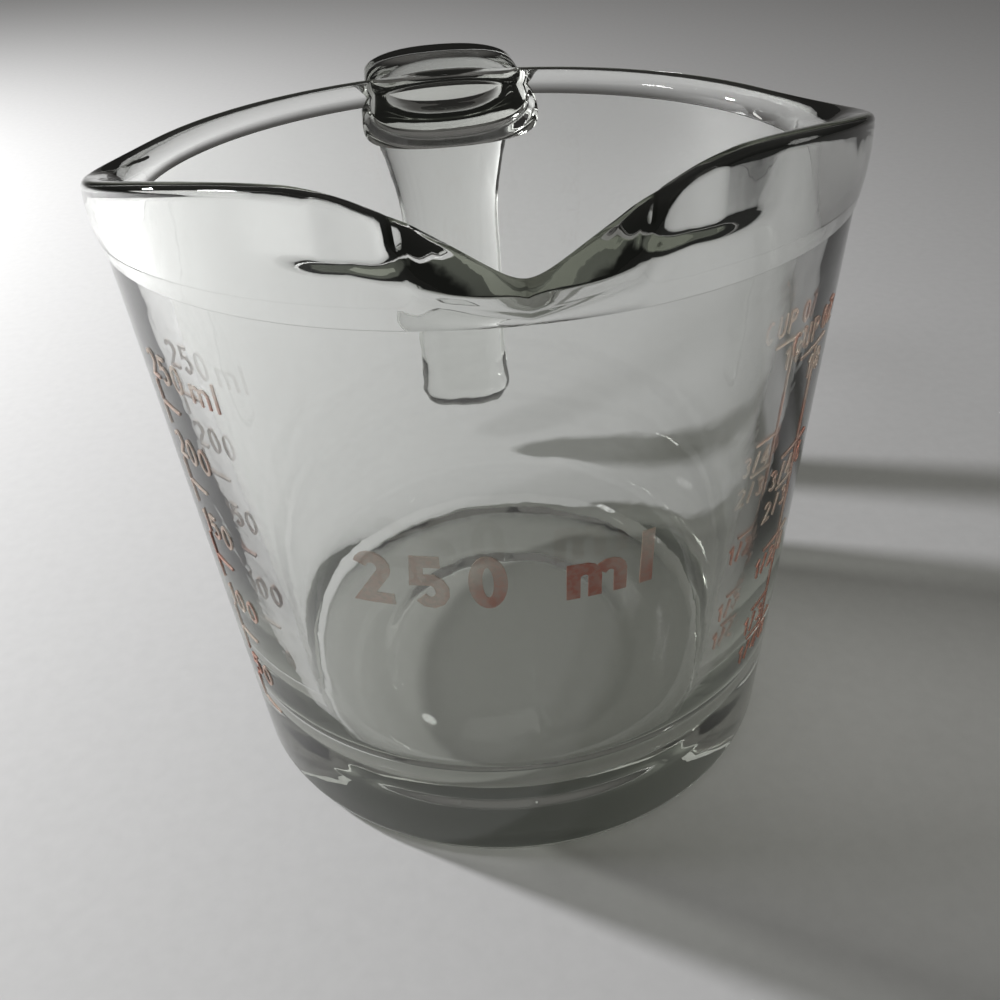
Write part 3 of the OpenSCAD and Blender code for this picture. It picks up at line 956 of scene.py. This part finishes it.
def make_glass(material):
    """Clear pressed glass, with a faint painted glow where light stays caught in it."""
    tree, leave = fresh(material)
    past = use_group(tree, history, Scratch_amount=0.6)
    path = tree.nodes.new("ShaderNodeLightPath")
    across, _, height = object_axes(tree)
    in_foot = steep(height * -1, -foot_end * MM, -foot_full * MM)
    # Where the painted glow is strongest: the sides of the foot, away from the middle
    painted_glow_sides = steep(across.math("ABSOLUTE"), painted_glow_side_start * MM, painted_glow_side_full * MM)
    waves = Wire(tree, past.outputs["Waves"]) * (in_foot * -foot_calm + 1)
    smudges = Wire(tree, past.outputs["Smudges"])
    scratches = Wire(tree, past.outputs["Scratches"])
    shader = tree.nodes.new("ShaderNodeBsdfPrincipled")
    shader.inputs["Base Color"].default_value = (*surface_colour, 1)
    shader.inputs["Transmission Weight"].default_value = 1
    shader.inputs["IOR"].default_value = glass_bend
    shader.inputs["Emission Strength"].default_value = 1
    tree.links.new((smudges * smudge_rough + scratches * scratch_rough).socket, shader.inputs["Roughness"])
    tree.links.new(bumped(tree, waves.socket, wave_strength, wave_height * MM), shader.inputs["Normal"])
    # The emission carries the painted glow of light still caught in the glass
    tree.links.new(painted_glow(tree, path, in_foot, painted_glow_sides), shader.inputs["Emission Color"])
    material.cycles.emission_sampling = "NONE"
    clear = tree.nodes.new("ShaderNodeBsdfTransparent")
    tree.links.new(edge_shade(tree), clear.inputs["Color"])
    shadow_ray = Wire(tree, path.outputs["Is Shadow Ray"])
    lit_through = shadow_ray.at_least(Wire(tree, path.outputs["Is Diffuse Ray"]))
    choose = tree.nodes.new("ShaderNodeMixShader")
    tree.links.new(lit_through.socket, choose.inputs[0])
    tree.links.new(shader.outputs[0], choose.inputs[1])
    tree.links.new(clear.outputs[0], choose.inputs[2])
    tree.links.new(choose.outputs[0], leave.inputs["Surface"])
    tint = tree.nodes.new("ShaderNodeVolumeAbsorption")
    tint.inputs["Color"].default_value = (*tint_colour, 1)
    tint.inputs["Density"].default_value = tint_density
    tree.links.new(tint.outputs["Volume"], leave.inputs["Volume"])


make_glass(glass)
print("glass material:", len(glass.node_tree.nodes), "nodes")

# %% Put the glass on its body
wall.name = "glass"
wall.data.materials.clear()
wall.data.materials.append(glass)
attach(wall, "root")
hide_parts("bowl", "rim", "handle")
print("glass replaces bowl, rim and handle")

# %% [markdown]
# ## Enamel
#
# The scales are printed in a brownish red ceramic colour and fired on. Many washes have thinned
# it: it is patchy, pale where it is thin, and slightly see-through. The prints could be a picture
# on the glass, but the measured model has them as thin layers, so they only need a finish. Noise
# at two scales gives the patches, and the same masks drive colour and alpha, so that thin places
# are pale and clear.

# %% Enamel material
thin_enamel = (0.80, 0.70, 0.60)
thick_enamel = (0.52, 0.19, 0.13)
patch_scale = 60
speck_scale = 1600
speck_share = 0.25
speck_height = 0.02


def make_enamel():
    """Thin worn ceramic colour."""
    material = bpy.data.materials.new("worn_enamel")
    tree, leave = fresh(material)
    where = tree.nodes.new("ShaderNodeTexCoord").outputs["Object"]
    patches = steep(noise(tree, where, patch_scale, 4), 0.42, 0.62)
    specks = steep(noise(tree, where, speck_scale, 2), 0.38, 0.62)
    body = patches * (1 - speck_share) + specks * speck_share
    shader = tree.nodes.new("ShaderNodeBsdfPrincipled")
    tree.links.new(mixed_colour(body, thin_enamel, thick_enamel), shader.inputs["Base Color"])
    tree.links.new((body * 0.45 + 0.38).socket, shader.inputs["Alpha"])
    tree.links.new((body * -0.2 + 0.55).socket, shader.inputs["Roughness"])
    tree.links.new(bumped(tree, specks.socket, 0.3, speck_height * MM), shader.inputs["Normal"])
    tree.links.new(shader.outputs[0], leave.inputs["Surface"])
    return material


enamel = make_enamel()
prints = ("ml_lines", "ml_numerals", "cup_lines", "cup_fractions", "ounce_numerals", "front_mark")
for name in prints:
    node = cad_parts[name]
    node.data.materials.clear()
    node.data.materials.append(enamel)
print("enamel on", len(prints), "printed layers")

# %% [markdown]
# ## Table, lamps and world
#
# Glass shows what is round it, so the set matters more than the lamps' strength. The table is
# pale and matt. One bulb stands low behind and to the left and throws the handle's long shadow
# to the right. A weak one above the left side gives the small glints. A picture of a room could
# light the set too, but bulbs and a plain sky can be moved and dimmed one by one. The sky is dim,
# so that the thick edges of the glass have something dark to show.

# %% Table
air_gap = 0.05
table_reach = 6000
table_dark = (0.60, 0.60, 0.60)
table_pale = (0.66, 0.66, 0.66)


def make_table():
    """A large pale matt plane, with the faint unevenness of paper."""
    material = bpy.data.materials.new("pale_table")
    tree, leave = fresh(material)
    where = tree.nodes.new("ShaderNodeTexCoord").outputs["Object"]
    grain = noise(tree, where, 400, 3)
    shader = tree.nodes.new("ShaderNodeBsdfPrincipled")
    shader.inputs["Roughness"].default_value = 0.8
    shader.inputs["Specular IOR Level"].default_value = 0.2
    tree.links.new(mixed_colour(grain, table_dark, table_pale), shader.inputs["Base Color"])
    tree.links.new(shader.outputs[0], leave.inputs["Surface"])
    half = table_reach * MM
    low = -air_gap * MM
    mesh = bpy.data.meshes.new("table")
    mesh.from_pydata([(-half, -half, low), (half, -half, low), (half, half, low), (-half, half, low)],
                     [], [(0, 1, 2, 3)])
    mesh.materials.append(material)
    table = bpy.data.objects.new("table", mesh)
    bpy.context.collection.objects.link(table)
    return table


table = make_table()
print("table", [round(d, 2) for d in table.dimensions], "m")


# %% Lamps
key_place = (-460, 241, 283)
key_bulb = 24
key_watts = 15
fill_place = (-227, 2, 250)
fill_bulb = 30
fill_watts = 0.8


def add_bulb(name, place, radius, watts):
    """A round bulb at a place. It lights the set but isn't seen itself."""
    light = bpy.data.lights.new(name, "POINT")
    light.shadow_soft_size = radius * MM
    light.energy = watts
    lamp = bpy.data.objects.new(name + "_lamp", light)
    bpy.context.collection.objects.link(lamp)
    lamp.location = Vector(place) * MM
    lamp.visible_camera = False


add_bulb("key", key_place, key_bulb, key_watts)
add_bulb("fill", fill_place, fill_bulb, fill_watts)


# %% World
sky_colour = (1, 0.96, 0.92)
sky_level = 0.02
sky_rise = 0.1
rise_from = 0.12
rise_to = 0.6


def make_world():
    """A dim, slightly warm sky that gets a little brighter overhead."""
    world = bpy.data.worlds.new("studio")
    world.use_nodes = True
    tree = world.node_tree
    tree.nodes.clear()
    leave = tree.nodes.new("ShaderNodeOutputWorld")
    sky = tree.nodes.new("ShaderNodeBackground")
    direction = tree.nodes.new("ShaderNodeTexCoord")
    split = tree.nodes.new("ShaderNodeSeparateXYZ")
    tree.links.new(direction.outputs["Generated"], split.inputs["Vector"])
    height = Wire(tree, split.outputs["Z"])
    level = steep(height, rise_from, rise_to) * sky_rise + sky_level
    sky.inputs["Color"].default_value = (*sky_colour, 1)
    tree.links.new(level.socket, sky.inputs["Strength"])
    tree.links.new(sky.outputs[0], leave.inputs["Surface"])
    bpy.context.scene.world = world


make_world()
bpy.context.scene.view_settings.view_transform = "Standard"
print("view transform:", bpy.context.scene.view_settings.view_transform)
